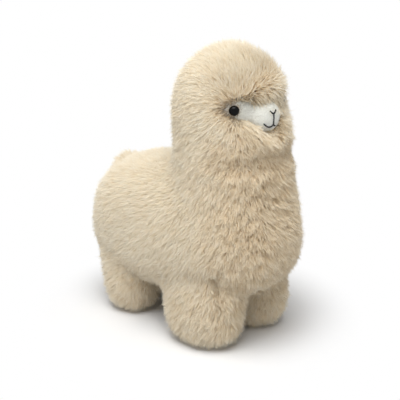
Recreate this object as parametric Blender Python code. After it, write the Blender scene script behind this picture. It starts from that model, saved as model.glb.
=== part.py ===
"""Stuffed alpaca: a long-pile plush toy that stands on four stub legs.

The coat is fur fabric sewn into a skin and stuffed. Torso, neck and head are one skin; the legs
and the tail are sewn on to it. A white short-pile face with a rounded snout is set into the front
of the head, with plastic safety eyes held by washers behind it, and a stitched nose and mouth.

Metres, +Z up. The toy faces -Y, so its right side is at -X. The origin is on the floor, under the
middle of the toy. Body sizes are measured to the roots of the fur locks, which stand out of them.
"""

import math
import random

import bmesh
import bpy
from mathutils import Matrix, Vector
from mathutils.bvhtree import BVHTree

# Torso, from chest to rump: fullest below its middle, with a back that falls to the rear
TORSO_LENGTH = 0.262
TORSO_WIDTH = 0.139
TORSO_HEIGHT = 0.142
BELLY_CLEARANCE = 0.043
FULLEST_HEIGHT = 0.104
BACK_FALL = 0.021
TORSO_PLAN_POWER = 2.7
TORSO_SIDE_POWER = 2.7

# Neck: a thick column that widens into the chest
NECK_FORWARD = 0.060
NECK_WIDTH = 0.120
NECK_DEPTH = 0.121
NECK_BASE_WIDTH = 0.140
NECK_BASE_DEPTH = 0.130
NECK_HEIGHT = 0.070

# Head, with a low topknot on its crown
HEAD_FORWARD = 0.055
HEAD_RISE = 0.137
HEAD_WIDTH = 0.118
HEAD_DEPTH = 0.120
HEAD_HEIGHT = 0.120
TOPKNOT_WIDTH = 0.066
TOPKNOT_RISE = 0.003

# Legs
FRONT_LEG_SPREAD = 0.070
FRONT_LEG_FORWARD = 0.052
FRONT_FOOT_WIDTH = 0.064
FRONT_FOOT_DEPTH = 0.090
SHOULDER_DEPTH = 0.100
REAR_LEG_SPREAD = 0.070
REAR_LEG_BACK = 0.060
REAR_FOOT_WIDTH = 0.056
REAR_FOOT_DEPTH = 0.060
THIGH_DEPTH = 0.100
SOLE_SHARE = 0.44
LEG_SIDES = 18

# Tail
TAIL_WIDTH = 0.033
TAIL_DEPTH = 0.034
TAIL_HEIGHT = 0.036
TAIL_BACK = 0.106
TAIL_RISE = 0.037

# Coat
LOCK_SIZE = 0.0119
LOCK_RISE = 0.0042
LOCK_SWEEP = 0.0072
LOCK_VARIATION = 0.35
FLOOR_GAP = 0.0012
SEAM_GAP = 0.0010
SEAM_MARGIN = 0.0010
LOCK_JITTER = 0.0020

# White face: a band that carries the eyes, and the snout in front of it, in a hollow under the brow
FACE_WIDTH = 0.079
FACE_BAND_HEIGHT = 0.033
FACE_BACK = 0.037
SNOUT_WIDTH = 0.031
SNOUT_HEIGHT = 0.029
SNOUT_REACH = 0.0565
SNOUT_DROP = 0.0100
EYE_LEVEL = 0.0069
HOLLOW_WIDTH = 0.116
HOLLOW_HEIGHT = 0.029
HOLLOW_CLEARANCE = 0.004
FACE_SIDES = 24

# Safety eyes and the washers behind them
EYE_DIAMETER = 0.0102
EYE_DOME = 0.0042
EYE_RIM = 0.0006
EYE_SPREAD = 0.062
EYE_TOE_OUT = 42.0
SHANK_DIAMETER = 0.0032
SHANK_LENGTH = 0.0105
WASHER_DIAMETER = 0.0115
WASHER_THICKNESS = 0.0012
FABRIC_THICKNESS = 0.0030
RUNNING_GAP = 0.0003
WELL_MARGIN = 0.0010
WELL_SINK = 0.0060
WELL_REACH = 0.0160
WELL_FLARE = 0.0050
ROUND_SIDES = 16

# Stitched nose and mouth
THREAD_DIAMETER = 0.0014
NOSE_ARM = 0.0042
NOSE_TOP = 0.0040
MOUTH_DROP = 0.0062
MOUTH_HALF_WIDTH = 0.0115
MOUTH_CURL = 0.0030
MOUTH_SAG = 0.0016

TORSO_MIDDLE = Vector((0, 0, BELLY_CLEARANCE + TORSO_HEIGHT / 2))
HEAD_MIDDLE = TORSO_MIDDLE + Vector((0, -HEAD_FORWARD, HEAD_RISE))
LEG_TOP = TORSO_MIDDLE.z
NAP = Vector((0, 0.22, -1.0))

random.seed(11)


def clear_scene():
    """Removes whatever the file opened with."""
    for thing in list(bpy.data.objects):
        bpy.data.objects.remove(thing)


def finish(name, colour, roughness, coat=0.0):
    """A plain material in linear colour."""
    material = bpy.data.materials.new(name)
    material.use_nodes = True
    shader = material.node_tree.nodes["Principled BSDF"]
    shader.inputs["Base Color"].default_value = (*colour, 1.0)
    shader.inputs["Roughness"].default_value = roughness
    shader.inputs["Metallic"].default_value = 0.0
    shader.inputs["Coat Weight"].default_value = coat
    return material


def make_object(name, mesh_builder):
    """Turns a bmesh into a named object and frees the bmesh."""
    mesh = bpy.data.meshes.new(name)
    bmesh.ops.recalc_face_normals(mesh_builder, faces=mesh_builder.faces)
    mesh_builder.to_mesh(mesh)
    mesh_builder.free()
    thing = bpy.data.objects.new(name, mesh)
    bpy.context.scene.collection.objects.link(thing)
    return thing


def as_helper(thing):
    """Keeps a cutter or a guide out of the toy."""
    thing.hide_render = True
    thing.display_type = "WIRE"
    return thing


def baked(thing):
    """Applies the object's modifiers to its mesh."""
    graph = bpy.context.evaluated_depsgraph_get()
    mesh = bpy.data.meshes.new_from_object(thing.evaluated_get(graph))
    thing.modifiers.clear()
    thing.data = mesh
    return thing


def round_power(value, power):
    """A sine or cosine bent towards a rounded box as power rises above 2."""
    return math.copysign(abs(value) ** (2 / power), value)


def ring(middle, across, along, power, sides, start=0.0):
    """Points of a superellipse around middle, with two half-axis vectors."""
    points = []
    for step in range(sides):
        turn = math.tau * (step + start) / sides
        points.append(
            middle
            + across * round_power(math.cos(turn), power)
            + along * round_power(math.sin(turn), power)
        )
    return points


def loft(name, rings, first_tip=None, last_tip=None):
    """Skins a row of equal rings and closes the ends with a tip point or a flat cap."""
    builder = bmesh.new()
    rows = [[builder.verts.new(point) for point in points] for points in rings]
    count = len(rows[0])
    for low, high in zip(rows, rows[1:]):
        for side in range(count):
            after = (side + 1) % count
            builder.faces.new((low[side], low[after], high[after], high[side]))
    for row, tip in ((rows[0], first_tip), (rows[-1], last_tip)):
        if tip is None:
            builder.faces.new(row)
            continue
        point = builder.verts.new(tip)
        for side in range(count):
            builder.faces.new((row[side], row[(side + 1) % count], point))
    return make_object(name, builder)


def egg(name, middle, size, side_power=2.0, sides=32, rows=16):
    """A closed egg of the given overall size, round from above, boxier from the side as the power rises."""
    half = Vector(size) / 2
    rings = []
    for row in range(1, rows):
        rise = -math.pi / 2 + math.pi * row / rows
        share = round_power(math.cos(rise), side_power)
        height = half.z * round_power(math.sin(rise), side_power)
        across = Vector((half.x * share, 0, 0))
        along = Vector((0, half.y * share, 0))
        centre = middle + Vector((0, 0, height))
        rings.append(ring(centre, across, along, 2, sides))
    tips = [middle + Vector((0, 0, side * half.z)) for side in (-1, 1)]
    return loft(name, rings, *tips)


def eased(stations, place):
    """Reads a row of (place, value, value...) stations with a smooth step between neighbours."""
    if place <= stations[0][0]:
        return stations[0][1:]
    for low, high in zip(stations, stations[1:]):
        if place <= high[0]:
            share = (place - low[0]) / (high[0] - low[0])
            share = share * share * (3 - 2 * share)
            return [a + (b - a) * share for a, b in zip(low[1:], high[1:])]
    return stations[-1][1:]


def torso_form():
    """The barrel, built from level rings that tip with the fall of the back."""
    below = FULLEST_HEIGHT - BELLY_CLEARANCE
    above = TORSO_HEIGHT - below
    rows = 16
    rings = []
    for row in range(1, rows):
        rise = -math.pi / 2 + math.pi * row / rows
        share = round_power(math.cos(rise), TORSO_SIDE_POWER)
        height = round_power(math.sin(rise), TORSO_SIDE_POWER)
        centre = Vector((0, 0, FULLEST_HEIGHT + height * (above if height > 0 else below)))
        across = Vector((TORSO_WIDTH / 2 * share, 0, 0))
        along = Vector((0, TORSO_LENGTH / 2 * share, -BACK_FALL / 2 * share))
        rings.append(ring(centre, across, along, TORSO_PLAN_POWER, 32))
    tips = [Vector((0, 0, FULLEST_HEIGHT - below)), Vector((0, 0, FULLEST_HEIGHT + above))]
    return loft("torso_form", rings, *tips)


def neck_form():
    """The column from inside the torso up into the head."""
    low = TORSO_MIDDLE.z - 0.1 * TORSO_HEIGHT
    middle = TORSO_MIDDLE.z + NECK_HEIGHT
    high = HEAD_MIDDLE.z
    stations = [
        (low, -NECK_FORWARD, NECK_BASE_WIDTH, NECK_BASE_DEPTH),
        (middle, -NECK_FORWARD, NECK_WIDTH, NECK_DEPTH),
        (high, -HEAD_FORWARD, 0.97 * HEAD_WIDTH, 0.97 * HEAD_DEPTH),
    ]
    rings = []
    rows = 14
    for row in range(rows + 1):
        z = low + (high - low) * row / rows
        y, width, depth = eased(stations, z)
        across, along = Vector((width / 2, 0, 0)), Vector((0, depth / 2, 0))
        rings.append(ring(Vector((0, y, z)), across, along, 2.1, 32))
    return loft("neck_form", rings)


def merged(name, forms, cell, smoothing):
    """One closed skin round overlapping forms, with softened valleys between them."""
    builder = bmesh.new()
    for form in forms:
        builder.from_mesh(form.data)
        bpy.data.objects.remove(form)
    thing = make_object(name, builder)
    remesh = thing.modifiers.new("one_skin", "REMESH")
    remesh.mode = "VOXEL"
    remesh.voxel_size = cell
    smooth = thing.modifiers.new("stuffing", "SMOOTH")
    smooth.factor = 0.5
    smooth.iterations = smoothing
    return baked(thing)


def grown(thing, name, margin):
    """A copy pushed out by margin, to cut a seat that keeps clear of the thing."""
    copy = bpy.data.objects.new(name, thing.data.copy())
    bpy.context.scene.collection.objects.link(copy)
    push = copy.modifiers.new("grow", "DISPLACE")
    push.strength = margin
    push.mid_level = 0.0
    return as_helper(baked(copy))


def cut(thing, *cutters, solver="EXACT"):
    """Takes the cutters out of the thing."""
    for cutter in cutters:
        step = thing.modifiers.new("cut_" + cutter.name, "BOOLEAN")
        step.operation = "DIFFERENCE"
        step.solver = solver
        step.object = cutter
    return baked(thing)


def inside(tree, point):
    """True if a line from the point leaves the closed surface an odd number of times."""
    direction = Vector((0.31, 0.53, 0.79)).normalized()
    crossings = 0
    place, _, _, _ = tree.ray_cast(point, direction)
    while place is not None:
        crossings += 1
        place, _, _, _ = tree.ray_cast(place + direction * 0.00001, direction)
    return crossings % 2 == 1


def surface_tree(thing, margin=0.0):
    """A search tree over an object's faces, pushed out by margin."""
    builder = bmesh.new()
    builder.from_mesh(thing.data)
    builder.normal_update()
    for vertex in builder.verts:
        vertex.co += vertex.normal * margin
    tree = BVHTree.FromBMesh(builder)
    builder.free()
    return tree


def ruffle(thing, seams):
    """Shifts the vertices about within the skin, away from its seams, so that the locks fall in no rows."""
    for vertex in thing.data.vertices:
        if any(inside(tree, vertex.co) for tree in seams):
            continue
        shift = Vector([random.uniform(-LOCK_JITTER, LOCK_JITTER) for _ in range(3)])
        vertex.co += shift - vertex.normal * shift.dot(vertex.normal)


def raise_locks(thing, keep_clear):
    """Draws each face out into a lock of fur that leans down the nap, clear of other pieces and of the floor."""
    builder = bmesh.new()
    builder.from_mesh(thing.data)
    builder.normal_update()
    furred, leans = [], []
    for face in builder.faces:
        middle = face.calc_center_median()
        normal = face.normal.copy()
        nap = NAP - normal * NAP.dot(normal)
        if nap.length > 1:
            nap.normalize()
        share = 1 + random.uniform(-LOCK_VARIATION, LOCK_VARIATION)
        size = math.sqrt(face.calc_area()) / LOCK_SIZE
        lean = (normal * LOCK_RISE + nap * LOCK_SWEEP) * share * min(1.0, size)
        reach = [middle, middle + lean / 2, middle + lean * 1.1]
        reach += [(middle + lean + corner.co) / 2 for corner in face.verts]
        reach += [(3 * (middle + lean) + corner.co) / 4 for corner in face.verts]
        blocked = any(inside(tree, point) for tree in keep_clear for point in reach)
        if middle.z > FLOOR_GAP and not blocked:
            furred.append(face)
            leans.append(lean)
    tips = bmesh.ops.poke(builder, faces=furred, center_mode="MEAN")["verts"]
    builder.verts.index_update()
    flat = {}
    for tip, lean in zip(tips, leans):
        flat[tip.index] = tip.co.copy()
        tip.co += lean
        tip.co.z = max(tip.co.z, FLOOR_GAP)
    builder.to_mesh(thing.data)
    builder.free()
    return flat


def comb_clear(thing, flat, others):
    """Lays down each lock that still touches another piece."""
    trees = [surface_tree(other, SEAM_GAP / 2) for other in others]
    for _ in range(5):
        own = surface_tree(thing)
        touching = {pair[0] for tree in trees for pair in own.overlap(tree)}
        locks = {corner for number in touching for corner in thing.data.polygons[number].vertices}
        for tip in locks & set(flat):
            thing.data.vertices[tip].co = flat[tip]


def leg_form(name, side, spread, place, width, depth, top_depth):
    """A stub leg on a rounded foot with a small flat sole, leaning in where it swells to meet the torso."""
    # share of the height, share of the foot's width, share of the way to the top's depth, share of the spread
    rows = [
        (0.000, SOLE_SHARE, 0.0, 1.00),
        (0.035, 0.66, 0.0, 1.00),
        (0.095, 0.84, 0.0, 1.00),
        (0.185, 0.96, 0.0, 1.00),
        (0.310, 1.00, 0.1, 1.00),
        (0.460, 1.00, 0.4, 0.98),
        (0.610, 0.99, 0.8, 0.93),
        (0.760, 0.94, 1.0, 0.85),
        (0.890, 0.84, 1.0, 0.75),
        (1.000, 0.66, 1.0, 0.66),
    ]
    rings = []
    for row, (height, share, swell, lean) in enumerate(rows):
        middle = Vector((side * lean * spread / 2, place, height * LEG_TOP))
        across = Vector((width / 2 * share, 0, 0))
        along = Vector((0, (depth + swell * (top_depth - depth)) / 2 * share, 0))
        rings.append(ring(middle, across, along, 2.15, LEG_SIDES, row % 2 / 2))
    return loft(name, rings)


def face_form():
    """The band across the eyes and the snout, lofted from inside the head to the tip of the nose."""
    back = -FACE_BACK
    reach = SNOUT_REACH
    half_band = FACE_WIDTH / 2
    half_snout = SNOUT_WIDTH / 2
    eye_z = EYE_LEVEL
    snout_z = EYE_LEVEL - SNOUT_DROP
    # place ahead of the head's middle, half width, middle height, half height
    stations = [
        (-back * 0.30, half_band * 0.80, eye_z, FACE_BAND_HEIGHT * 0.34),
        (-back * 0.55, half_band * 0.97, eye_z, FACE_BAND_HEIGHT * 0.46),
        (-back * 0.78, half_band, eye_z, FACE_BAND_HEIGHT * 0.50),
        (-back * 1.00, half_band * 0.86, eye_z - 0.15 * SNOUT_DROP, FACE_BAND_HEIGHT * 0.50),
        (reach - 1.05 * half_snout, half_snout * 1.22, snout_z + 0.35 * SNOUT_DROP, SNOUT_HEIGHT * 0.52),
        (reach - 0.72 * half_snout, half_snout * 1.00, snout_z, SNOUT_HEIGHT * 0.50),
        (reach - 0.36 * half_snout, half_snout * 0.84, snout_z, SNOUT_HEIGHT * 0.43),
        (reach - 0.12 * half_snout, half_snout * 0.52, snout_z, SNOUT_HEIGHT * 0.28),
    ]
    rings = []
    for ahead, half_width, height, half_height in stations:
        middle = HEAD_MIDDLE + Vector((0, -ahead, height))
        across, along = Vector((half_width, 0, 0)), Vector((0, 0, half_height))
        rings.append(ring(middle, across, along, 2.1, FACE_SIDES))
    first = HEAD_MIDDLE + Vector((0, back * 0.26, eye_z))
    last = HEAD_MIDDLE + Vector((0, -reach, snout_z))
    return loft("face", rings, first, last)


def turned(name, profile, place, direction, sides=ROUND_SIDES):
    """A solid of revolution: (radius, height) pairs turned round a line through place along direction."""
    turn = direction.to_track_quat("Z", "Y").to_matrix().to_4x4()
    at = Matrix.Translation(place) @ turn
    rings, tips = [], []
    for radius, height in profile:
        if radius == 0:
            tips.append(at @ Vector((0, 0, height)))
            continue
        flat = ring(Vector((0, 0, height)), Vector((radius, 0, 0)), Vector((0, radius, 0)), 2, sides)
        rings.append([at @ point for point in flat])
    return loft(name, rings, *tips)


def hollow_disc(name, inner, outer, low, high, place, direction):
    """A flat washer round a line through place along direction."""
    turn = direction.to_track_quat("Z", "Y").to_matrix().to_4x4()
    at = Matrix.Translation(place) @ turn
    builder = bmesh.new()
    rows = []
    for radius, height in ((inner, low), (outer, low), (outer, high), (inner, high)):
        flat = ring(Vector((0, 0, height)), Vector((radius, 0, 0)), Vector((0, radius, 0)), 2, ROUND_SIDES)
        rows.append([builder.verts.new(at @ point) for point in flat])
    for low_row, high_row in zip(rows, rows[1:] + rows[:1]):
        for side in range(ROUND_SIDES):
            after = (side + 1) % ROUND_SIDES
            builder.faces.new((low_row[side], low_row[after], high_row[after], high_row[side]))
    return make_object(name, builder)


def eye_profile(grow):
    """Shank end, ridges, flange and dome of a safety eye, from back to front."""
    shank = SHANK_DIAMETER / 2
    radius = EYE_DIAMETER / 2
    profile = [(0, -SHANK_LENGTH - grow), (shank * 0.6 + grow, -SHANK_LENGTH - grow)]
    profile += [(shank + grow, -SHANK_LENGTH + 0.8 * shank)]
    profile += [(shank + grow, -grow), (radius * 0.94 + grow, -grow)]
    for step in range(5):
        rise = math.pi / 2 * step / 5
        profile.append(((radius + grow) * math.cos(rise), EYE_RIM + (EYE_DOME + grow) * math.sin(rise)))
    profile.append((0, EYE_RIM + EYE_DOME + grow))
    return profile


def stitch_line(name, tree, points, radius):
    """A thread laid over the snout: each (x, z) point is found on the surface from the front."""
    curve = bpy.data.curves.new(name, "CURVE")
    curve.dimensions = "3D"
    curve.bevel_depth = radius
    curve.bevel_resolution = 1
    curve.use_fill_caps = True
    spline = curve.splines.new("POLY")
    spline.points.add(len(points) - 1)
    for slot, (x, z) in zip(spline.points, points):
        start = Vector((x, HEAD_MIDDLE.y - 2 * SNOUT_REACH, z))
        place, normal, _, _ = tree.ray_cast(start, Vector((0, 1, 0)))
        slot.co = (*(place + normal * 0.25 * THREAD_DIAMETER), 1)
    thing = bpy.data.objects.new(name, curve)
    bpy.context.scene.collection.objects.link(thing)
    return thing


def nose_and_mouth_lines():
    """(x, z) points of the nose's two arms, the line under it and the two sides of the smile."""
    top = HEAD_MIDDLE.z + EYE_LEVEL - SNOUT_DROP + NOSE_TOP - 0.35 * NOSE_ARM
    bottom = HEAD_MIDDLE.z + EYE_LEVEL - SNOUT_DROP - MOUTH_DROP
    lines = [[(0, top + (bottom - top) * step / 4) for step in range(5)]]
    for side in (-1, 1):
        arm = [(side * NOSE_ARM * step / 2, top + 0.35 * NOSE_ARM * step) for step in range(3)]
        smile = []
        for step in range(7):
            share = step / 6
            height = bottom - MOUTH_SAG * math.sin(math.pi * min(1.0, 1.5 * share))
            smile.append((side * MOUTH_HALF_WIDTH * share, height + MOUTH_CURL * share**3))
        lines += [arm, smile]
    return lines


def sewn_thread(name, tree, radius):
    """The nose and mouth stitches as one closed solid."""
    parts = [stitch_line(f"{name}_{n}", tree, line, radius) for n, line in enumerate(nose_and_mouth_lines())]
    graph = bpy.context.evaluated_depsgraph_get()
    meshes = []
    for part in parts:
        mesh = bpy.data.meshes.new_from_object(part.evaluated_get(graph))
        solid = bpy.data.objects.new(part.name + "_solid", mesh)
        bpy.context.scene.collection.objects.link(solid)
        weld = solid.modifiers.new("weld", "WELD")
        weld.merge_threshold = 0.00001
        meshes.append(baked(solid))
    for part in parts:
        bpy.data.objects.remove(part)
    whole = meshes[0]
    whole.name = name
    for other in meshes[1:]:
        step = whole.modifiers.new("join_" + other.name, "BOOLEAN")
        step.operation = "UNION"
        step.solver = "EXACT"
        step.object = other
    baked(whole)
    for other in meshes[1:]:
        bpy.data.objects.remove(other)
    return whole


def shade(thing, material, angle=None):
    """Gives the finished object its material and smooth shading."""
    thing.data.materials.clear()
    thing.data.materials.append(material)
    if angle:
        thing.data.shade_smooth()
        thing.data.set_sharp_from_angle(angle=math.radians(angle))


def centre_over_origin():
    """Moves the whole toy so that the origin lies on the floor under its middle."""
    shown = [thing for thing in bpy.data.objects if not thing.hide_render]
    corners = [thing.matrix_world @ vertex.co for thing in shown for vertex in thing.data.vertices]
    lows = [min(corner[axis] for corner in corners) for axis in range(3)]
    highs = [max(corner[axis] for corner in corners) for axis in range(3)]
    shift = Vector((-(lows[0] + highs[0]) / 2, -(lows[1] + highs[1]) / 2, -lows[2]))
    for thing in bpy.data.objects:
        thing.data.transform(Matrix.Translation(shift))


def build():
    """Makes the toy."""
    clear_scene()
    plush = finish("cream_long_pile_plush", (0.76, 0.67, 0.50), 0.95)
    short_pile = finish("white_short_pile", (0.85, 0.85, 0.83), 0.9)
    eye_plastic = finish("black_eye_plastic", (0.006, 0.006, 0.007), 0.12, 1.0)
    washer_plastic = finish("white_washer_plastic", (0.75, 0.75, 0.73), 0.5)
    thread = finish("black_embroidery_thread", (0.008, 0.008, 0.009), 0.75)

    # Torso, neck and head: one skin with a hollow in front for the face
    head = egg("head_form", HEAD_MIDDLE, (HEAD_WIDTH, HEAD_DEPTH, HEAD_HEIGHT), 2.1)
    crown = HEAD_MIDDLE + Vector((0, 0, HEAD_HEIGHT / 2 + TOPKNOT_RISE - TOPKNOT_WIDTH / 2))
    topknot = egg("topknot_form", crown, (TOPKNOT_WIDTH, TOPKNOT_WIDTH, TOPKNOT_WIDTH), 2.2)
    whole = merged("body", [torso_form(), neck_form(), head, topknot], LOCK_SIZE / 2, 6)
    hollow_middle = HEAD_MIDDLE + Vector((0, -HEAD_DEPTH / 2, EYE_LEVEL - 0.3 * SNOUT_DROP))
    hollow_depth = 2 * (HEAD_DEPTH / 2 - FACE_BACK + HOLLOW_CLEARANCE)
    hollow = as_helper(egg("face_hollow", hollow_middle, (HOLLOW_WIDTH, hollow_depth, HOLLOW_HEIGHT)))
    body = merged("body", [cut(whole, hollow)], LOCK_SIZE, 2)

    # Legs and tail, sewn to the body
    front_foot = (FRONT_FOOT_WIDTH, FRONT_FOOT_DEPTH, SHOULDER_DEPTH)
    front = (FRONT_LEG_SPREAD, -FRONT_LEG_FORWARD, *front_foot)
    rear = (REAR_LEG_SPREAD, REAR_LEG_BACK, REAR_FOOT_WIDTH, REAR_FOOT_DEPTH, THIGH_DEPTH)
    legs = [
        leg_form("front_right_leg", -1, *front),
        leg_form("front_left_leg", 1, *front),
        leg_form("rear_right_leg", -1, *rear),
        leg_form("rear_left_leg", 1, *rear),
    ]
    tail_place = TORSO_MIDDLE + Vector((0, TAIL_BACK, TAIL_RISE))
    tail = egg("tail", tail_place, (TAIL_WIDTH, TAIL_DEPTH, TAIL_HEIGHT), sides=12, rows=8)

    # White face, with its eyes through it and their washers behind it
    face = face_form()
    face_seat = grown(face, "face_seat", SEAM_GAP)
    face_tree = surface_tree(face)
    wells, rooms = [], []
    for side, name in ((-1, "right"), (1, "left")):
        angle = math.radians(EYE_TOE_OUT)
        outward = Vector((side * math.sin(angle), -math.cos(angle), 0))
        aim = Vector((side * EYE_SPREAD / 2, HEAD_MIDDLE.y - FACE_BACK * 0.9, HEAD_MIDDLE.z + EYE_LEVEL))
        seat, _, _, _ = face_tree.ray_cast(aim + outward * FACE_WIDTH, -outward)
        place = seat + outward * RUNNING_GAP
        eye = turned(name + "_eye", eye_profile(0.0), place, outward)
        shade(eye, eye_plastic, 40)
        behind = -FABRIC_THICKNESS
        washer = hollow_disc(
            name + "_eye_washer",
            SHANK_DIAMETER / 2 + RUNNING_GAP,
            WASHER_DIAMETER / 2,
            behind - WASHER_THICKNESS,
            behind,
            place,
            outward,
        )
        shade(washer, washer_plastic)
        pocket = [
            (WASHER_DIAMETER / 2 + RUNNING_GAP, behind - WASHER_THICKNESS - RUNNING_GAP),
            (WASHER_DIAMETER / 2 + RUNNING_GAP, behind + RUNNING_GAP),
        ]
        well = EYE_DIAMETER / 2 + WELL_MARGIN
        parting = [(well, -WELL_SINK), (well + WELL_FLARE, WELL_REACH)]
        rooms.append(as_helper(turned(name + "_washer_room", pocket, place, outward)))
        rooms.append(as_helper(turned(name + "_eye_room", eye_profile(RUNNING_GAP), place, outward)))
        wells.append(as_helper(turned(name + "_eye_well", parting, place, outward)))

    # Seams are cut while the skins are bare, and the locks stay clear of them
    ruffle(body, [surface_tree(form, LOCK_SIZE / 2) for form in [*legs, tail, face]])
    seam = surface_tree(body, SEAM_MARGIN)
    body_seat = grown(body, "body_seat", SEAM_GAP)
    cut(body, *wells, hollow, face_seat, solver="MANIFOLD")
    flat = {}
    for form in [*legs, tail]:
        cut(form, body_seat)
        flat[form.name] = raise_locks(form, [seam])
        comb_clear(form, flat[form.name], [body, *[leg for leg in legs if leg != form]])
    clear = [surface_tree(form, SEAM_MARGIN) for form in [*legs, tail, face, hollow, *wells]]
    flat["body"] = raise_locks(body, clear)
    comb_clear(body, flat["body"], [*legs, tail, face])
    cut(face, *rooms)

    stitches = sewn_thread("nose_and_mouth_stitches", face_tree, THREAD_DIAMETER / 2)
    groove = as_helper(sewn_thread("stitch_groove", face_tree, THREAD_DIAMETER / 2 + RUNNING_GAP))
    cut(face, groove)

    shade(stitches, thread, 50)
    shade(face, short_pile, 40)
    for form in [body, *legs, tail]:
        shade(form, plush)
    centre_over_origin()


build()
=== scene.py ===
"""Stuffed alpaca: the looks. A shaggy plush toy with a cream coat, a white face and black safety eyes."""

import math

import bmesh
import bpy
import numpy as np
from mathutils import Matrix, Vector
from mathutils.bvhtree import BVHTree


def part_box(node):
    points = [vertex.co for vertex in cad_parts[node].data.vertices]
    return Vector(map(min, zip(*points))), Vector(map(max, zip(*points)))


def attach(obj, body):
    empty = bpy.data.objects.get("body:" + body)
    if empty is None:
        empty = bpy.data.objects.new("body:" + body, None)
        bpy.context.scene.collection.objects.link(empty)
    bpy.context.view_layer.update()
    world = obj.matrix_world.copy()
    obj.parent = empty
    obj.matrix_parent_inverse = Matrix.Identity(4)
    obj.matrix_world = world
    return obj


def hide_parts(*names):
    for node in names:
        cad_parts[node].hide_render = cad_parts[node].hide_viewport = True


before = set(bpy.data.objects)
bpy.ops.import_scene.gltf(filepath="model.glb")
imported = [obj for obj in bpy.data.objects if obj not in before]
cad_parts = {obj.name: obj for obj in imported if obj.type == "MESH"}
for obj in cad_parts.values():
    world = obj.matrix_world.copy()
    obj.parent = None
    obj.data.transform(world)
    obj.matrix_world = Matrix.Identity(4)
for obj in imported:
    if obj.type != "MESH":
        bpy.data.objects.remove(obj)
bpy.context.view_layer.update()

# The photo's view. A short telephoto lens looks down a little on the toy's right front quarter,
# with the toy just below and left of the middle of the picture.
view_turn, view_height, view_distance = -44.75, 19.8, 1.056
look_at = Vector((0, -0.0115, 0.1376))


def aimed(name, kind, turn, height, far):
    """A camera or a lamp that faces the toy from a turn t and a height h in degrees and far metres off:
    look_at + far * (sin t cos h, -cos t cos h, sin h)."""
    made = bpy.data.objects.new(name, kind)
    bpy.context.scene.collection.objects.link(made)
    t, h = math.radians(turn), math.radians(height)
    away = Vector((math.sin(t) * math.cos(h), -math.cos(t) * math.cos(h), math.sin(h)))
    made.location = look_at + away * far
    made.rotation_euler = away.to_track_quat("Z", "Y").to_euler()
    return made


camera = aimed("camera", bpy.data.cameras.new("camera"), view_turn, view_height, view_distance)
camera.data.lens = 88.4
camera.data.sensor_width = 36
camera.data.clip_end = 30
bpy.context.scene.camera = camera
bpy.context.scene.view_settings.view_transform = "Standard"


# The studio. A white paper sweep, seen as plain white but still darkened by the toy's shadow,
# under a wide softbox over the toy's right shoulder, a faint light from behind and a weak fill.
def linear(hex_colour):
    """An sRGB hex string as linear red, green, blue and full alpha."""
    channels = np.array([int(hex_colour[start : start + 2], 16) for start in (1, 3, 5)]) / 255
    low, high = channels / 12.92, ((channels + 0.055) / 1.055) ** 2.4
    return (*np.where(channels <= 0.04045, low, high), 1.0)


def new_material(name):
    """A named material with its node tree, its Principled shader and its output."""
    made = bpy.data.materials.new(name)
    made.use_nodes = True
    tree = made.node_tree
    return made, tree, tree.nodes["Principled BSDF"], tree.nodes["Material Output"]


def add_node(tree, kind, links=None, **settings):
    """Adds a node. Settings name its properties or, for plain sockets, their input names."""
    node = tree.nodes.new(kind)
    for name, value in settings.items():
        if hasattr(node, name):
            setattr(node, name, value)
        else:
            node.inputs[name.replace("_", " ")].default_value = value
    for name, source in (links or {}).items():
        tree.links.new(source, node.inputs[name])
    return node


def put_mesh(name, points, faces):
    """An object at the origin from an array of points and a list of face arrays."""
    mesh = bpy.data.meshes.new(name)
    mesh.from_pydata(points.tolist(), [], [row for block in faces for row in block.tolist()])
    made = bpy.data.objects.new(name, mesh)
    bpy.context.scene.collection.objects.link(made)
    return made


def looked_at(tree):
    """1 for rays from the camera and for those mirrored or refracted by a piece, 0 for all others."""
    seen = add_node(tree, "ShaderNodeLightPath")
    total = seen.outputs["Is Camera Ray"]
    for also in ("Is Glossy Ray", "Is Transmission Ray"):
        more = add_node(tree, "ShaderNodeMath", operation="MAXIMUM")
        tree.links.new(total, more.inputs[0])
        tree.links.new(seen.outputs[also], more.inputs[1])
        total = more.outputs[0]
    return total


sweep_width, sweep_front, sweep_back, sweep_bend, sweep_top = 3.4, -2.2, 1.3, 0.9, 2.6
sweep_rows = 60
across, along = np.meshgrid(np.linspace(-1, 1, 3), np.linspace(0, 1, sweep_rows))


def sweep_profile(run):
    """Flat floor, then a quarter circle, then an upright wall, as y and z along the run 0 to 1."""
    flat, bend, wall = sweep_back - sweep_front, sweep_bend * np.pi / 2, sweep_top
    place = run * (flat + bend + wall)
    turn = np.clip((place - flat) / sweep_bend, 0, np.pi / 2)
    y = sweep_front + np.minimum(place, flat) + sweep_bend * np.sin(turn)
    z = sweep_bend * (1 - np.cos(turn)) + np.maximum(place - flat - bend, 0)
    return y, z


sweep_y, sweep_z = sweep_profile(along)
sweep_points = np.stack([across * sweep_width, sweep_y, sweep_z], -1).reshape(-1, 3)
corner = (np.arange(sweep_rows - 1)[:, None] * 3 + np.arange(2)[None, :]).ravel()
squares = np.stack([corner, corner + 1, corner + 4, corner + 3], 1)
sweep = put_mesh("paper_sweep", sweep_points, [squares])
sweep.data.transform(Matrix.Rotation(math.radians(view_turn), 4, "Z"))
sweep.data.shade_smooth()
paper, tree, shader, output = new_material("white_paper")
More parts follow.
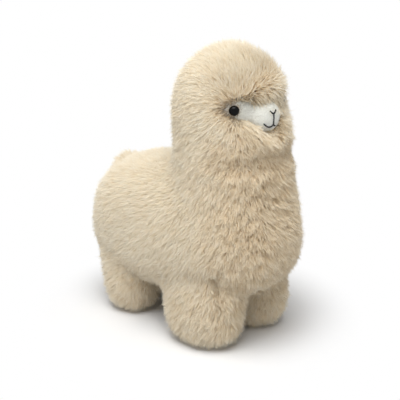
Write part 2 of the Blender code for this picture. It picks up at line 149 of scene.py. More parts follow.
# Matt background paper, which throws a soft light back up. It is seen brighter than it lights the
# toy, and at a distance from the toy's middle, in metres, it gives way to plain white.
paper_lights, paper_looks, shadow_ends, white_begins = 0.66, 0.84, 0.110, 0.195
shader.inputs["Base Color"].default_value = (paper_lights, paper_lights, paper_lights, 1)
shader.inputs["Roughness"].default_value = 0.95
shader.inputs["Specular IOR Level"].default_value = 0.0
bright_paper = add_node(tree, "ShaderNodeBsdfDiffuse", Color=(paper_looks, paper_looks, paper_looks, 1))
blank = add_node(tree, "ShaderNodeEmission", Color=(1, 1, 1, 1), Strength=1.0)
where = add_node(tree, "ShaderNodeTexCoord")
place = {"Vector": where.outputs["Object"]}
far_off = add_node(tree, "ShaderNodeVectorMath", place, operation="LENGTH")
distance = {"Value": far_off.outputs["Value"]}
fade = add_node(tree, "ShaderNodeMapRange", distance, interpolation_type="SMOOTHSTEP")
fade.inputs["From Min"].default_value, fade.inputs["From Max"].default_value = shadow_ends, white_begins
shown = add_node(tree, "ShaderNodeMixShader")
tree.links.new(fade.outputs["Result"], shown.inputs[0])
tree.links.new(bright_paper.outputs[0], shown.inputs[1])
tree.links.new(blank.outputs[0], shown.inputs[2])
pick = add_node(tree, "ShaderNodeMixShader")
tree.links.new(looked_at(tree), pick.inputs[0])
tree.links.new(shader.outputs[0], pick.inputs[1])
tree.links.new(shown.outputs[0], pick.inputs[2])
tree.links.new(pick.outputs[0], output.inputs["Surface"])
sweep.data.materials.append(paper)

world = bpy.data.worlds.new("studio_air")
bpy.context.scene.world = world
world.use_nodes = True
tree = world.node_tree
air = tree.nodes["Background"]
air.inputs["Color"].default_value = (1.0, 1.0, 1.0, 1)
air.inputs["Strength"].default_value = 0.24
bright = add_node(tree, "ShaderNodeBackground", Color=(1, 1, 1, 1), Strength=1.0)
pick = add_node(tree, "ShaderNodeMixShader")
tree.links.new(looked_at(tree), pick.inputs[0])
tree.links.new(air.outputs[0], pick.inputs[1])
tree.links.new(bright.outputs[0], pick.inputs[2])
tree.links.new(pick.outputs[0], tree.nodes["World Output"].inputs["Surface"])

for name, turn, height, far, size, power in (
    ("overhead_softbox", -57, 67, 1.9, 1.5, 45.5),
    ("window_side_light", -125, 38, 2.1, 1.5, 2.5),
    ("front_fill", 0, 25, 2.4, 1.8, 0.5),
):
    lamp = aimed(name, bpy.data.lights.new(name, "AREA"), turn, height, far)
    lamp.data.size = size
    lamp.data.energy = power


# The stuffed skins. Each is knitted backing cloth, sewn inside out, turned and packed with fibre
# until it is firm; the fur's roots stand in it, and it shows only as the shade between them.
skin_depth = 0.0085
cloth_cell = 0.0040


def stuffed_skin(name, nodes, depth):
    """The solids' meshes joined, remeshed and relaxed until their locks are gone, then drawn in by the
    depth in even steps, each relaxed a little so that the cloth never folds."""
    made = bpy.data.objects.new(name, bpy.data.meshes.new(name))
    bpy.context.scene.collection.objects.link(made)
    heap = bmesh.new()
    for node in nodes:
        heap.from_mesh(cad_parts[node].data)
    bmesh.ops.remove_doubles(heap, verts=heap.verts, dist=0.00001)
    heap.to_mesh(made.data)
    heap.free()

    def remesh():
        even = made.modifiers.new("even_cloth", "REMESH")
        even.mode = "VOXEL"
        even.voxel_size = cloth_cell

    def relax(times):
        soft = made.modifiers.new("relaxed", "SMOOTH")
        soft.factor = 0.5
        soft.iterations = times

    remesh()
    relax(10)
    steps = 4
    for _ in range(steps):
        sink = made.modifiers.new("backing", "DISPLACE")
        sink.mid_level = 0.0
        sink.strength = -depth / steps
        relax(2)
    remesh()
    relax(3)
    graph = bpy.context.evaluated_depsgraph_get()
    made.data = bpy.data.meshes.new_from_object(made.evaluated_get(graph))
    made.modifiers.clear()
    made.data.name = name
    made.data.materials.clear()
    made.data.shade_smooth()
    return made


knit, tree, shader, output = new_material("knitted_backing_cloth")
# Knitted backing: a matt, slightly darker cream that closes the gaps between the roots.
loops = add_node(tree, "ShaderNodeTexCoord")
wales = add_node(tree, "ShaderNodeTexNoise", {"Vector": loops.outputs["Object"]}, Scale=900.0, Detail=3.0)
cream = add_node(tree, "ShaderNodeValToRGB", {"Fac": wales.outputs["Fac"]})
cream.color_ramp.elements[0].color = linear("#E9D2A6")
cream.color_ramp.elements[1].color = linear("#F0DDBA")
tree.links.new(cream.outputs["Color"], shader.inputs["Base Color"])
shader.inputs["Roughness"].default_value = 0.95
shader.inputs["Specular IOR Level"].default_value = 0.1

stuffed = ("body", "front_right_leg", "front_left_leg", "rear_right_leg", "rear_left_leg", "tail")
backing = stuffed_skin("sewn_backing", (*stuffed, "face"), skin_depth + 0.0010)
backing.data.materials.append(knit)
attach(backing, "root")
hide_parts(*stuffed)


# The face: white short-pile plush, sewn over a small stuffed snout and set into the coat. It runs
# as a band back to the eyes, narrows, and swells again into the round tip of the nose.
nose_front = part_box("face")[0].y
eye_height = sum(corner.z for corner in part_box("right_eye")) / 2
head_middle_y = nose_front + 0.0565
face_sections = np.array(
    [
        # ahead of the head's middle, half width, height above the eyes, half height
        (0.0110, 0.0315, 0.0000, 0.0120),
        (0.0205, 0.0380, 0.0000, 0.0155),
        (0.0290, 0.0395, 0.0000, 0.0165),
        (0.0360, 0.0345, -0.0010, 0.0162),
        (0.0390, 0.0250, -0.0045, 0.0156),
        (0.0425, 0.0180, -0.0080, 0.0150),
        (0.0480, 0.0158, -0.0100, 0.0144),
        (0.0525, 0.0133, -0.0103, 0.0124),
        (0.0554, 0.0093, -0.0103, 0.0089),
        (0.0566, 0.0042, -0.0103, 0.0041),
    ]
)


def through(stations, count):
    """A smooth curve through the rows of stations, evenly spread: a Catmull-Rom cubic per span."""
    padded = np.vstack([2 * stations[0] - stations[1], stations, 2 * stations[-1] - stations[-2]])
    place = np.linspace(0, len(stations) - 1, count)
    span = np.minimum(place.astype(int), len(stations) - 2)
    t = (place - span)[:, None]
    a, b, c, d = (padded[span + shift] for shift in range(4))
    bend, twist = 2 * a - 5 * b + 4 * c - d, 3 * b - a - 3 * c + d
    return 0.5 * (2 * b + (c - a) * t + bend * t**2 + twist * t**3)


def closed_grid(rows, sides):
    """Quads of a tube of rows by sides points, facing outwards, with a fan to a pole at each end."""
    row, side = np.meshgrid(np.arange(rows - 1), np.arange(sides), indexing="ij")
    start, after = row * sides + side, row * sides + (side + 1) % sides
    quads = np.stack([start, after, after + sides, start + sides], -1).reshape(-1, 4)
    ring, low_pole, high_pole = np.arange(sides), rows * sides, rows * sides + 1
    fan_low = np.stack([(ring + 1) % sides, ring, np.full(sides, low_pole)], 1)
    last = (rows - 1) * sides
    fan_high = np.stack([last + ring, last + (ring + 1) % sides, np.full(sides, high_pole)], 1)
    return [quads, fan_low, fan_high]


def snout_surface(rows=64, sides=72):
    """Ellipses across the line of the face, sized by the smooth curve through its sections."""
    ahead, half_width, rise, half_height = through(face_sections, rows).T[:, :, None]
    turn = np.linspace(0, 2 * np.pi, sides, endpoint=False)[None, :]
    x = half_width * np.cos(turn)
    z = eye_height + rise + half_height * np.sin(turn)
    y = head_middle_y - ahead + 0 * turn
    points = np.stack([x, y, z], -1).reshape(-1, 3)
    first, last = face_sections[0], face_sections[-1]
    crowned_back, crowned_tip = 0.004, 0.0003
    poles = [
        (0, head_middle_y - first[0] + crowned_back, eye_height + first[2]),
        (0, head_middle_y - last[0] - crowned_tip, eye_height + last[2]),
    ]
    return np.vstack([points, poles]), closed_grid(rows, sides)


face = put_mesh("short_pile_face", *snout_surface())
face.data.shade_smooth()
felted, tree, shader, output = new_material("white_short_pile_plush")
# Sheared polyester pile: bright, matt and a little uneven, with a soft edge of sheen.
where = add_node(tree, "ShaderNodeTexCoord")
nap = add_node(tree, "ShaderNodeTexNoise", {"Vector": where.outputs["Object"]}, Scale=700.0, Detail=4.0)
white = add_node(tree, "ShaderNodeValToRGB", {"Fac": nap.outputs["Fac"]})
white.color_ramp.elements[0].position, white.color_ramp.elements[1].position = 0.3, 0.7
white.color_ramp.elements[0].color = linear("#F4F4F0")
white.color_ramp.elements[1].color = linear("#FDFDFB")
fuzz = add_node(tree, "ShaderNodeBump", {"Height": nap.outputs["Fac"]}, Strength=0.25, Distance=0.0006)
tree.links.new(white.outputs["Color"], shader.inputs["Base Color"])
tree.links.new(fuzz.outputs["Normal"], shader.inputs["Normal"])
shader.inputs["Roughness"].default_value = 0.9
shader.inputs["Sheen Weight"].default_value = 0.25
shader.inputs["Sheen Roughness"].default_value = 0.5
shader.inputs["Specular IOR Level"].default_value = 0.15
face.data.materials.append(felted)
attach(face, "root")
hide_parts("face")


# The pile: long acrylic fibres, knitted into the backing. Every hair is a thin flat fibre that rises
# from its root, bends over down the nap and gathers with its neighbours into a soft lock.
def mesh_arrays(thing):
    """Corner points and smooth normals of the object's triangles, each as triangles by 3 by 3."""
    mesh = thing.data
    mesh.calc_loop_triangles()
    corners = np.empty(len(mesh.loop_triangles) * 3, np.int32)
    mesh.loop_triangles.foreach_get("vertices", corners)
    places = np.empty(len(mesh.vertices) * 3)
    mesh.vertices.foreach_get("co", places)
    normals = np.empty(len(mesh.vertices) * 3)
    mesh.vertex_normals.foreach_get("vector", normals)
    corners = corners.reshape(-1, 3)
    return places.reshape(-1, 3)[corners], normals.reshape(-1, 3)[corners]


def unit(vectors):
    """The vectors at length 1."""
    return vectors / np.maximum(np.linalg.norm(vectors, axis=-1, keepdims=True), 1e-9)


def scatter_roots(thing, per_square_mm):
    """Roots spread over the surface in step with its area, with the smooth normal at each: triangle by
    running area, then 1 - u - v, u and v as the shares of its corners."""
    places, normals = mesh_arrays(thing)
    sides = np.cross(places[:, 1] - places[:, 0], places[:, 2] - places[:, 0])
    area = np.linalg.norm(sides, axis=1) / 2
    reach = np.cumsum(area)
    count = int(reach[-1] * 1e6 * per_square_mm)
    chosen = np.searchsorted(reach, (np.arange(count) + dice.random(count)) / count * reach[-1])
    chosen = np.minimum(chosen, len(area) - 1)
    u, v = dice.random((2, count))
    fold = u + v > 1
    u, v = np.where(fold, 1 - u, u), np.where(fold, 1 - v, v)
    weights = np.stack([1 - u - v, u, v], 1)[:, :, None]
    return (places[chosen] * weights).sum(1), unit((normals[chosen] * weights).sum(1))


def hashed(cells, salt):
    """Three even random numbers from 0 to 1 for each whole-number cell: the fraction of a large sine."""
    slants = np.array([[127.1, 269.5, 113.5], [311.7, 183.3, 271.9], [74.7, 246.1, 124.6]])
    mix = cells @ slants + salt
    return np.abs(np.modf(np.sin(mix) * 43758.5453)[0])


def nearest_lock(points, size, salt):
    """The middle of each point's lock and its luck: Worley cells, one jittered middle per cube of that
    size, and the nearest of the 27 about the point."""
    home = np.floor(points / size)
    best = np.full(len(points), np.inf)
    middle, luck = np.zeros_like(points), np.zeros_like(points)
    for shift in np.array(np.meshgrid([-1, 0, 1], [-1, 0, 1], [-1, 0, 1])).reshape(3, -1).T:
        cell = home + shift
        feature = (cell + hashed(cell, salt)) * size
        gap = ((points - feature) ** 2).sum(1)
        closer = gap < best
        best = np.where(closer, gap, best)
        middle[closer], luck[closer] = feature[closer], hashed(cell[closer], salt + 17.0)
    return middle, luck


def waves(points, length, salt):
    """Smooth noise from -1 to 1 in three channels: sines of the place along six fixed slants."""
    turns = np.random.default_rng(salt)
    total = np.zeros((len(points), 3))
    for octave in (1.0, 1.7):
        slants = turns.normal(size=(3, 3))
        total += np.sin(points @ unit(slants).T * (2 * np.pi * octave / length) + turns.random(3) * 6.28)
    return total / 2


def flat_on(vectors, normals):
    """The part of each vector that lies in the surface."""
    return vectors - normals * (vectors * normals).sum(1, keepdims=True)


def eased(values, start, end):
    """0 at start and 1 at end, with a smooth step between: 3 t^2 - 2 t^3."""
    t = np.clip((values - start) / (end - start), 0, 1)
    return t * t * (3 - 2 * t)


# One seeded row of dice for all of the pile, so that every run grows the same hairs. They end just
# above the floor, and close to an eye they take a painted grey-brown shade, which stands for the shade
# of the socket under the brow.
dice = np.random.default_rng(4)
floor_gap = 0.0004
eye_low, eye_high = (np.array(corner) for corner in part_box("left_eye"))
eye_spot = (eye_low + eye_high) / 2
eye_z = eye_spot[2]


def fringe_share(points):
    """1 in the brow just over the snout, easing to 0 short of both eyes and up the forehead."""
    x, y, z = points.T
    across = eased(-x, -0.0335, -0.0265) * eased(x, -0.026, 0.000)
    up = eased(-z, -eye_z - 0.036, -eye_z - 0.004) * (z > eye_z - 0.008)
    return across * eased(-y, 0.066, 0.080) * up


def grow_pile(name, roots, normals, lie, length, width, lift, lean, shag, lock=0.0058, wisp=0.0025):
    """Hairs as flat fibres, even from the root to the bend and drawn to a point, their flats outwards.

    Place along a hair, t from 0 to 1: root + normal * length * lift * (1.25 t - 0.25 t^2)
    + lie * length * lean * (0.3 t + 0.7 t^2), then drawn towards the middle of its lock as t^1.5.
    The nap swings in broad and narrow waves, and by lock, by wisp and by hair; shag says how much. The
    tone is 0.15 to 1 and differs at random by lock, wisp and hair. It is also painted light and shade:
    paler where the pile lies smooth, on the crown, back and flanks that face the light, and darker on
    the shaggy front and legs. It is 0, a painted grey-brown shade, on the fibres close to an eye."""
    count = len(roots)
    shaggy = shag[:, None]
    middle, luck = nearest_lock(roots + 0.0015 * waves(roots, 0.02, 3), lock, 5.0)
    wisp_middle, wisp_luck = nearest_lock(roots, wisp, 41.0)
    swing = 0.32 * waves(roots, 0.05, 8)[:, :1] + 0.50 * waves(roots, 0.013, 9)[:, :1] * shaggy
    swing = swing + shaggy * (0.45 * (luck[:, :1] - 0.5) + 0.45 * (wisp_luck[:, :1] - 0.5))
    swing = swing + 0.22 * dice.normal(size=(count, 1))
    lie = unit(lie * np.cos(swing) + np.cross(normals, lie) * np.sin(swing))
    length = length * (1 + 0.14 * shag * (luck[:, 1] - 0.5)) * (0.88 + 0.24 * dice.random(count))
    lift = lift * (1 + 0.16 * shag * (luck[:, 2] - 0.5)) * (0.90 + 0.20 * dice.random(count))
    pull = flat_on(middle - roots, normals) * 0.07 + flat_on(wisp_middle - roots, normals) * 0.12
    pull = pull * shaggy
    stray = 0.075 * length[:, None] * dice.normal(size=(count, 3))
    spine = []
    for t in (0.0, 0.5, 1.0):
        up = length * lift * (1.25 * t - 0.25 * t * t)
        out = length * lean * (0.3 * t + 0.7 * t * t)
        bent = roots + normals * up[:, None] + lie * out[:, None]
        spine.append(bent + pull * t**1.5 + stray * t * t)
    low, bend, tip = spine
    tangent = unit(tip - low)
    across = unit(np.cross(tangent, normals) + 1e-6)
    twist = 0.45 * dice.normal(size=(count, 1))
    across = across * np.cos(twist) + np.cross(tangent, across) * np.sin(twist)
    half = across * (width * (0.75 + 0.5 * dice.random(count)) / 2)[:, None]
    points = np.stack([low - half * 0.8, low + half * 0.8, bend + half, bend - half, tip], 1)
    points[:, :, 2] = np.maximum(points[:, :, 2], floor_gap)
    mixed = 0.45 * luck[:, 0] + 0.25 * wisp_luck[:, 2] + 0.3 * dice.random(count)
    # Painted light and shade: on top of its random part, the tone is raised where the pile is smooth, on
    # the crown, back and flanks that face the light, and lowered on the shaggy front and legs.
    tone_and_painted_shade = 0.15 + 0.85 * np.clip(0.65 * mixed + 0.45 * (1 - shag), 0, 1)
    same_side = np.sign(roots[:, :1] + 1e-9) ** [1, 0, 0]
    to_eye = np.linalg.norm((roots - eye_spot * same_side) * [1, 0.5, 1], axis=1)
    # Painted shade: fibres within about nine millimetres of an eye, but not in the fringe, are turned
    # towards the grey-brown at tone 0, for the shade of the eye's socket.
    painted_eye_shade = eased(-to_eye + 0.002 * dice.normal(size=count), -0.0088, -0.0045)
    tone_and_painted_shade = tone_and_painted_shade * (1 - painted_eye_shade * (1 - fringe_share(roots)))
    return hair_object(name, points, tone_and_painted_shade)


def hair_object(name, points, tone_and_painted_shade):
    """All the hairs as one mesh, each with a four-sided root, a three-sided tip and a cell of the UV
    square of its own, and with two values: its tone, and its reach, 0 at the root and 1 at the tip."""
    count = len(points)
    mesh = bpy.data.meshes.new(name)
    mesh.vertices.add(count * 5)
    mesh.vertices.foreach_set("co", points.astype(np.float32).ravel())
    corners = np.arange(count)[:, None] * 5 + np.array([[0, 1, 2, 3, 3, 2, 4]])
    mesh.loops.add(count * 7)
    mesh.loops.foreach_set("vertex_index", corners.astype(np.int32).ravel())
    starts = np.arange(count)[:, None] * 7 + np.array([[0, 4]])
    mesh.polygons.add(count * 2)
    mesh.polygons.foreach_set("loop_start", starts.astype(np.int32).ravel())
    wide = int(math.ceil(math.sqrt(count)))
    cell = np.arange(count)[:, None]
    u = (cell % wide + 0.06 + 0.88 * np.array([[0, 1, 1, 0, 0, 1, 0.5]])) / wide
    v = (cell // wide + 0.06 + 0.88 * np.array([[0, 0, 0.5, 0.5, 0.5, 0.5, 1.0]])) / wide
    layer = mesh.uv_layers.new(name="OFBake")
    layer.data.foreach_set("uv", np.stack([u, v], -1).astype(np.float32).ravel())
    reach = mesh.attributes.new("reach", "FLOAT", "POINT")
    reach.data.foreach_set("value", np.tile([0, 0, 0.5, 0.5, 1.0], count).astype(np.float32))
    shade = mesh.attributes.new("tone_and_painted_shade", "FLOAT", "POINT")
    shade.data.foreach_set("value", np.repeat(tone_and_painted_shade, 5).astype(np.float32))
    mesh.update(calc_edges=True)
    mesh.shade_smooth()
    made = bpy.data.objects.new(name, mesh)
    bpy.context.scene.collection.objects.link(made)
    return made


def pile_material(name, root_colours, tip_colours, sheen):
    """Fibre painted darker and warmer at the root, as painted shade deep in the pile, and paler at the
    tip, each hair a little apart from the next. Half of the light goes through it, as through thin
    acrylic.
    A tone near 0 gives the painted grey-brown shade at the eyes."""
    made, tree, shader, output = new_material(name)
    reach = add_node(tree, "ShaderNodeAttribute", attribute_name="reach")
    tone_and_painted_shade = add_node(tree, "ShaderNodeAttribute", attribute_name="tone_and_painted_shade")
    ends = []
    for colours in (root_colours, tip_colours):
        ramp = add_node(tree, "ShaderNodeValToRGB", {"Fac": tone_and_painted_shade.outputs["Fac"]})
        first, last = ramp.color_ramp.elements
        # Painted shade: the grey-brown at tone 0 is the shade round the eyes, not a colour of the fibre.
        first.color, last.color = linear("#C2B4A2"), linear(colours[1])
        ramp.color_ramp.elements.new(0.15).color = linear(colours[0])
        ends.append(ramp)
    # Painted shade: the darker root colour, mixed in by reach, stands for the shade deep in the pile.
    mix = add_node(tree, "ShaderNodeMix", data_type="RGBA")
    tree.links.new(reach.outputs["Fac"], mix.inputs["Factor"])
    tree.links.new(ends[0].outputs["Color"], mix.inputs[6])
    tree.links.new(ends[1].outputs["Color"], mix.inputs[7])
    tree.links.new(mix.outputs[2], shader.inputs["Base Color"])
    glowing = add_node(tree, "ShaderNodeBsdfTranslucent", {"Color": mix.outputs[2]})
    through_fibre = add_node(tree, "ShaderNodeMixShader")
    through_fibre.inputs[0].default_value = 0.5
    tree.links.new(shader.outputs[0], through_fibre.inputs[1])
    tree.links.new(glowing.outputs[0], through_fibre.inputs[2])
    tree.links.new(through_fibre.outputs[0], output.inputs["Surface"])
    shader.inputs["Roughness"].default_value = 0.75
    shader.inputs["Sheen Weight"].default_value = sheen
    shader.inputs["Sheen Roughness"].default_value = 0.4
    shader.inputs["Specular IOR Level"].default_value = 0.25
    return made


# The coat: cream pile of fifteen millimetres all over the toy, brushed down the body and away from
# the face. It is trimmed round the opening of the face, and a fringe hangs down over the snout.
coat_density, hair_width, pile_length = 1.85, 0.00080, 0.0150
opening_reach, opening_above, opening_below = 0.0345, 0.0068, 0.0096
fringe_drop, fringe_middle, fringe_spread = 0.0098, 0.013, 0.014
snout_half_width, snout_drop = 0.0130, 0.0140
# Acrylic, dyed before it was spun, with a soft sheen: nearly white at the tip, and at the root a warmer,
# darker cream that is painted shade, for the warm shade deep in the pile.
coat = pile_material("cream_acrylic_long_pile", ("#E0C491", "#EFDFBF"), ("#F4EBD8", "#FDFCF5"), 0.15)


def in_face_opening(points, margin):
    """True in front of the white face: between two arcs that meet beyond the eyes, the upper of them
    pressed down by the fringe, which falls a little to the toy's left, and the lower bellied out round
    the snout, seen from the front. The margin widens it on all sides."""
    x, y, z = points.T
    arc = np.sqrt(np.clip(1 - (x / (opening_reach + margin)) ** 2, 0, 1))
    lock_over_bridge = fringe_drop * np.exp(-(((x - fringe_middle) / fringe_spread) ** 2))
    round_snout = snout_drop * np.exp(-((x / snout_half_width) ** 4))
    top = eye_z + (opening_above + margin) * arc - lock_over_bridge
    bottom = eye_z - (opening_below + margin) * arc - round_snout
    return (z < top) & (z > bottom) & (y < head_middle_y - 0.012)


def nap_direction(points, normals):
    """The way the pile leans, and how much, from 0 to 1: away from the opening of the face all over the
    head, as the rays of a ruff, and down the neck, the torso and the legs, turning back along the flanks.
    The brow over the snout hangs down instead, and between the two the hairs stand straight out."""
    x, y, z = points.T
    back_along = 0.15 + 0.9 * eased(y, -0.060, 0.020) * eased(-z, -0.222, -0.172)
    outward = 0.3 * np.clip(x / 0.06, -1, 1) * eased(-z, -0.210, -0.180)
    down = unit(np.stack([outward, back_along, -1 + 0 * x], 1))
    centre = np.stack([np.clip(x, -0.026, 0.026), nose_front + 0.016 + 0 * x, eye_z - 0.003 + 0 * x], 1)
    away = unit(points - centre)
    far = np.linalg.norm((points - [0, nose_front + 0.012, eye_z]) * [1, 0.7, 1], axis=1)
    headness = (np.clip((z - 0.195) / 0.035, 0, 1) * np.clip(1.45 - far / 0.085, 0.25, 1))[:, None]
    nape = eased(y, -0.080, -0.030)[:, None]
    away = away * (1 - nape) + np.array([[0, 0.25, -1.0]]) * nape
    rays = down * (1 - headness) + 1.6 * away * headness
    hanging = fringe_share(points)[:, None]
    falling = np.array([[0, -0.3, -0.9]])
    nap = flat_on(unit(rays) * (1 - hanging) + falling * hanging, normals)
    return unit(nap + 1e-6), np.clip(np.linalg.norm(nap, axis=1) * 1.3, 0, 1)


whole = stuffed_skin("whole_skin", (*stuffed, "face"), skin_depth)
roots, normals = scatter_roots(whole, coat_density)
bpy.data.objects.remove(whole)
feathered = roots + 0.0011 * dice.normal(size=roots.shape)
sole = 0.006
keep = ~in_face_opening(feathered, 0.0) & (roots[:, 2] > sole)
roots, normals = roots[keep], normals[keep]
lie, laid = nap_direction(roots, normals)

# Where the pile is longer, stands up or is shaggy, each a share from 0 to 1 by height and by the way
# the skin faces.
x, y, z = roots.T
facing_front = -normals[:, 1]
brow = fringe_share(roots)
edge = sum(in_face_opening(roots, margin).astype(float) for margin in (0.002, 0.004, 0.006, 0.008)) / 4
front = eased(facing_front, 0.0, 0.75) * eased(-z, -0.245, -0.215)
ruff = eased(z, 0.219, 0.230) * eased(-z, -0.250, -0.238)
ruff = ruff * eased(facing_front, 0.1, 0.6) * eased(-np.abs(x), -0.036, -0.018)
throat = eased(z, 0.196, 0.205) * eased(-z, -0.220, -0.212) * eased(facing_front, 0.3, 0.8)
crown, topknot = eased(z, 0.270, 0.296), eased(z, 0.292, 0.305)
torso, legs = eased(-z, -0.200, -0.160), eased(-z, -0.085, -0.060)

length = pile_length * np.minimum(1, 0.60 + z / 0.040) * (1 - 0.5 * edge * (1 - brow))
longer = 0.30 * brow + 0.12 * crown + 0.08 * topknot + 0.24 * ruff * (1 - edge)
length = length * (1 + longer - 0.30 * throat - 0.08 * front)
lift = 0.60 + 0.22 * brow + 0.04 * topknot + 0.08 * ruff + 0.10 * front + 0.08 * torso + 0.06 * legs
lean = (0.60 - 0.12 * front) * laid
# Shag also lowers the pile's tone, which paints shade on the shaggy front and legs.
shag = 0.25 + 0.75 * front * eased(z, 0.03, 0.09) + 0.25 * legs

# The crease down the front of each front leg, where the pile parts to the outer and the inner side.
crease_at, crease_spread, crease_depth = 68, 6.5, 0.50
leg_low, leg_high = (np.array(corner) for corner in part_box("front_left_leg"))
leg_axis = (leg_low + leg_high) / 2
turn = np.degrees(np.arctan2(leg_axis[1] - y, np.abs(x) - leg_axis[0]))
turn = turn - crease_at + 5 * waves(roots, 0.05, 21)[:, 0]
on_leg_front = eased(z, 0.004, 0.080) * eased(-z, -0.102, -0.088) * (y < leg_axis[1])
parting = np.exp(-((turn / crease_spread) ** 2)) * on_leg_front
length = length * (1 - crease_depth * parting)

# Each panel of the coat is a piece of its own.
tail_low, tail_high = (np.array(corner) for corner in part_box("tail"))
tail_foot = (tail_low[2] + tail_high[2]) / 2 - 0.004
on_tail = ((roots > tail_low) & (roots < tail_high)).all(1) & (z > tail_foot)
neck_top, torso_top, leg_top = 0.228, 0.165, 0.062
chest_back, neck_back, legs_middle = -0.060, 0.006, 0.005
on_neck = (z <= neck_top) & (z > torso_top)
on_torso = (z <= torso_top) & (z > leg_top)
on_flank = on_torso & (y >= chest_back) & ~on_tail
on_leg, on_left, on_rear = z <= leg_top, x >= 0, y >= legs_middle
regions = {
    "head_fur": z > neck_top,
    "neck_fur": on_neck & (y < neck_back),
    "chest_fur": on_torso & (y < chest_back),
    "right_flank_fur": on_flank & ~on_left,
    "left_flank_fur": on_flank & on_left,
    "back_fur": on_neck & (y >= neck_back) & ~on_tail,
    "tail_fur": on_tail,
    "front_right_leg_fur": on_leg & ~on_left & ~on_rear,
    "front_left_leg_fur": on_leg & on_left & ~on_rear,
    "rear_right_leg_fur": on_leg & ~on_left & on_rear,
    "rear_left_leg_fur": on_leg & on_left & on_rear,
}
width = hair_width * (1 + 0.35 * brow)
hairs = (roots, normals, lie, length, width, lift, lean, shag)
for name, here in regions.items():
    fur = grow_pile(name, *(each[here] for each in hairs))
    fur.data.materials.append(coat)
    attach(fur, "root")


# The face's own pile: white, sheared to about two millimetres, so it reads as a velvet bloom. It
# covers all of the face that shows through the opening in the coat.
bloom_density, bloom_length, bloom_width = 5.0, 0.0022, 0.00042
bloom_lift, bloom_lean, bloom_shag = 0.45, 0.8, 0.4
roots, normals = scatter_roots(face, bloom_density)
keep = (roots[:, 1] < head_middle_y - 0.020) & in_face_opening(roots, 0.006)
roots, normals = roots[keep], normals[keep]
lie = unit(flat_on(np.array([[0, 1.0, -0.25]]) + 0 * roots, normals) + 1e-6)
alike = (bloom_length, bloom_width, bloom_lift, bloom_lean, bloom_shag)
alike = (np.full(len(roots), value) for value in alike)
bloom = grow_pile("face_bloom", roots, normals, lie, *alike, lock=0.0035, wisp=0.0012)
# Polyester, white to the root and cropped blunt: brighter and smoother than the coat.
# Close to the eyes its tone gives the same painted grey-brown shade as the coat's.
sheared = pile_material("white_sheared_pile", ("#F2F2EC", "#F6F6F2"), ("#FBFBF8", "#FEFEFC"), 0.2)
bloom.data.materials.append(sheared)
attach(bloom, "root")


# The eyes: black acrylic safety eyes, a polished dome on a shank that is pushed through the cloth
# and held by a washer behind it. The washers stay as the solids have them.
eye_black, tree, shader, output = new_material("black_polished_acrylic")
# Moulded and tumbled until glossy: near black, with a sharp highlight. The faint brown ring part way out
# is a painted reflection of the cream pile round the eye.
ring = add_node(tree, "ShaderNodeUVMap", uv_map="across_the_dome")
black = add_node(tree, "ShaderNodeValToRGB", {"Fac": ring.outputs["UV"]})
# Painted reflection: the brown stops at 0.48 and 0.62 across the dome.
black_and_painted_reflection = ((0.0, "#050505"), (0.30, "#060606"), (0.48, "#2C221A"), (0.62, "#17120D"), (0.78, "#060606"))
for place, colour in black_and_painted_reflection:
    stop = black.color_ramp.elements.new(place) if place else black.color_ramp.elements[0]
    stop.position, stop.color = place, linear(colour)
black.color_ramp.elements[-1].color = linear("#070707")
tree.links.new(black.outputs["Color"], shader.inputs["Base Color"])
shader.inputs["Roughness"].default_value = 0.08
shader.inputs["IOR"].default_value = 1.49
shader.inputs["Specular IOR Level"].default_value = 0.12


def dome_profile(radius, rise, shank_radius, shank_length, rows=40):
    """Radius and height along a safety eye: up the shank, out along the flat back, round the rim and over
    the dome, which is a quarter turn of radius cos t and height rim + (rise - rim) sin t."""
    turn = np.linspace(0, np.pi / 2, rows)
    rim = 0.12 * radius
    dome_r = radius * np.cos(turn)
    dome_h = rim + (rise - rim) * np.sin(turn)
    back_r = [0.0004, shank_radius * 0.8, shank_radius, shank_radius, radius - rim, radius - rim * 0.2]
    back_h = [-shank_length, -shank_length, -shank_length + 0.0008, 0, 0, rim * 0.35]
    return np.concatenate([back_r, dome_r[:-1]]), np.concatenate([back_h, dome_h[:-1]])


def turned_piece(name, radius, height, place, outward, sides=64):
    """The profile turned about the line through place: place + radius around + height outward."""
    a = unit(np.cross(outward, [0, 0, 1.0]))
    b = np.cross(outward, a)
    turn = np.linspace(0, 2 * np.pi, sides, endpoint=False)[None, :, None]
    round_about = a * np.cos(turn) + b * np.sin(turn)
    points = place + round_about * radius[:, None, None] + outward * height[:, None, None]
    poles = place + np.array([[height[0]], [height[-1] + 0.00002]]) * outward
    rows = len(radius)
    faces = [block[:, ::-1] for block in closed_grid(rows, sides)]
    return put_mesh(name, np.vstack([points.reshape(-1, 3), poles]), faces)


def put_uv(made, name, u, v):
    """A UV layer on the object from a u and a v for each of its vertices."""
    corners = np.empty(len(made.data.loops), np.int32)
    made.data.loops.foreach_get("vertex_index", corners)
    layer = made.data.uv_layers.new(name=name)
    layer.data.foreach_set("uv", np.stack([u, v], 1)[corners].astype(np.float32).ravel())


toe_out, rise, shank, shank_radius = math.radians(42), 0.0048, 0.0105, 0.0016
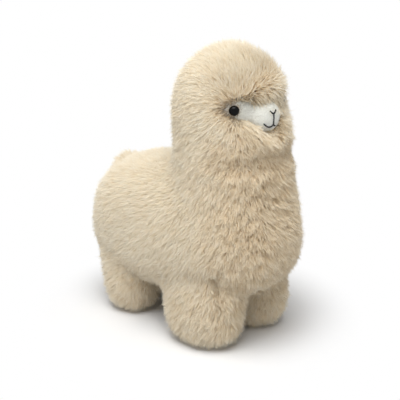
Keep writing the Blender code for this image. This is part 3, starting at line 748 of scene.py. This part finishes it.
# The left eye is pushed a little deeper into the pile, behind the fringe.
for side, node, sunk in ((-1, "right_eye", 0), (1, "left_eye", 0.0010)):
    low, high = (np.array(corner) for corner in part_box(node))
    outward = np.array([side * math.sin(toe_out), -math.cos(toe_out), 0])
    radius = (high[2] - low[2]) / 2
    place = (low + high) / 2 + outward * ((shank - rise) / 2 - sunk)
    eye = turned_piece(node + "_dome", *dome_profile(radius, rise, shank_radius, shank), place, outward)
    eye.data.shade_smooth()
    spots = np.empty(len(eye.data.vertices) * 3)
    eye.data.vertices.foreach_get("co", spots)
    out = np.linalg.norm(np.cross(spots.reshape(-1, 3) - place, outward), axis=1) / radius
    put_uv(eye, "across_the_dome", out, 0 * out)
    eye.data.materials.append(eye_black)
    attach(eye, "root")
    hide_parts(node)

washer_white, tree, shader, output = new_material("natural_moulded_nylon")
# Unpainted nylon, hidden behind the cloth: milky, half matt.
where = add_node(tree, "ShaderNodeTexCoord")
cloud = add_node(tree, "ShaderNodeTexNoise", {"Vector": where.outputs["Object"]}, Scale=250.0)
milk = add_node(tree, "ShaderNodeValToRGB", {"Fac": cloud.outputs["Fac"]})
milk.color_ramp.elements[0].color = linear("#D5D3CC")
milk.color_ramp.elements[1].color = linear("#E6E4DF")
tree.links.new(milk.outputs["Color"], shader.inputs["Base Color"])
shader.inputs["Roughness"].default_value = 0.45
for node in ("right_eye_washer", "left_eye_washer"):
    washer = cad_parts[node]
    washer.data.materials.clear()
    washer.data.materials.append(washer_white)


# The nose and the mouth: black rayon embroidery thread, stitched by hand in a few long stitches
# that are pulled down into the pile.
thread_black, tree, shader, output = new_material("black_rayon_thread")
# Twisted rayon: soft black, with faint lighter stripes along the twist of each strand, a painted
# highlight for its silky light.
path = add_node(tree, "ShaderNodeUVMap", uv_map="along_the_thread")
ply = add_node(tree, "ShaderNodeTexWave", {"Vector": path.outputs["UV"]}, Scale=1.0, Distortion=0.4)
ink = add_node(tree, "ShaderNodeValToRGB", {"Fac": ply.outputs["Fac"]})
# Painted highlight: the lighter stop follows the twist of the ply.
ink.color_ramp.elements[0].color = linear("#070708")
ink.color_ramp.elements[1].color = linear("#131213")
relief = add_node(tree, "ShaderNodeBump", {"Height": ply.outputs["Fac"]}, Strength=0.5, Distance=0.0002)
tree.links.new(ink.outputs["Color"], shader.inputs["Base Color"])
tree.links.new(relief.outputs["Normal"], shader.inputs["Normal"])
shader.inputs["Roughness"].default_value = 0.55

face_flat = mesh_arrays(face)[0].reshape(-1, 3)
face_tree = BVHTree.FromPolygons(face_flat.tolist(), np.arange(len(face_flat)).reshape(-1, 3).tolist())
thread_radius, stands_out, twists_a_row = 0.00080, 0.0009, 0.55


def laid_thread(name, line, sides=10, rows=40):
    """A thread pressed on the snout: the (x, z) line is smoothed, found on the face from the front, and
    a circle is carried along it whose radius closes to nothing at both ends."""
    well_ahead = nose_front - 0.05
    starts = [Vector((x, well_ahead, z)) for x, z in through(np.array(line), rows)]
    path = np.array([face_tree.ray_cast(start, Vector((0, 1, 0)))[0] for start in starts])
    path[:, 1] -= stands_out
    tangent = unit(np.gradient(path, axis=0))
    up = unit(np.cross(tangent, [0, 1.0, 0.001]))
    over = np.cross(tangent, up)
    share = np.linspace(-1, 1, rows)
    radius = thread_radius * (1 - share**8) ** 0.5
    turn = np.linspace(0, 2 * np.pi, sides, endpoint=False)[None, :, None]
    round_about = up[:, None] * np.cos(turn) + over[:, None] * np.sin(turn)
    points = path[:, None] + round_about * np.maximum(radius, 0.0001)[:, None, None]
    poles = np.stack([path[0] - tangent[0] * 0.0002, path[-1] + tangent[-1] * 0.0002])
    made = put_mesh(name, np.vstack([points.reshape(-1, 3), poles]), closed_grid(rows, sides))
    made.data.shade_smooth()
    twists = rows * twists_a_row
    run = np.append(np.repeat(np.linspace(0, twists, rows), sides), [0, twists])
    around = np.append(np.tile(np.arange(sides) / sides, rows), [0, 0])
    put_uv(made, "along_the_thread", run, around)
    made.data.materials.append(thread_black)
    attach(made, "root")
    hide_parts("nose_and_mouth_stitches")


# Heights above the floor, and steps to the side and up from them. The left half of the smile is one
# short stitch, as the photo shows it at the edge of the snout.
nose_top, fork, mouth = 0.2555, 0.2520, 0.2405
smile_steps = ((0, 0), (0.0040, -0.0013), (0.0080, 0.0002), (0.0115, 0.0034))
laid_thread("nose_line", [(0, fork), (0, (fork + mouth) / 2), (0, mouth)])
for side, word, stitched in ((-1, "right", 4), (1, "left", 2)):
    arm = [(0, fork), (side * 0.0022, fork + 0.0014), (side * 0.0044, nose_top)]
    laid_thread(word + "_nose_arm", arm)
    smile = [(side * out, mouth + up) for out, up in smile_steps[:stitched]]
    laid_thread(word + "_smile", smile)
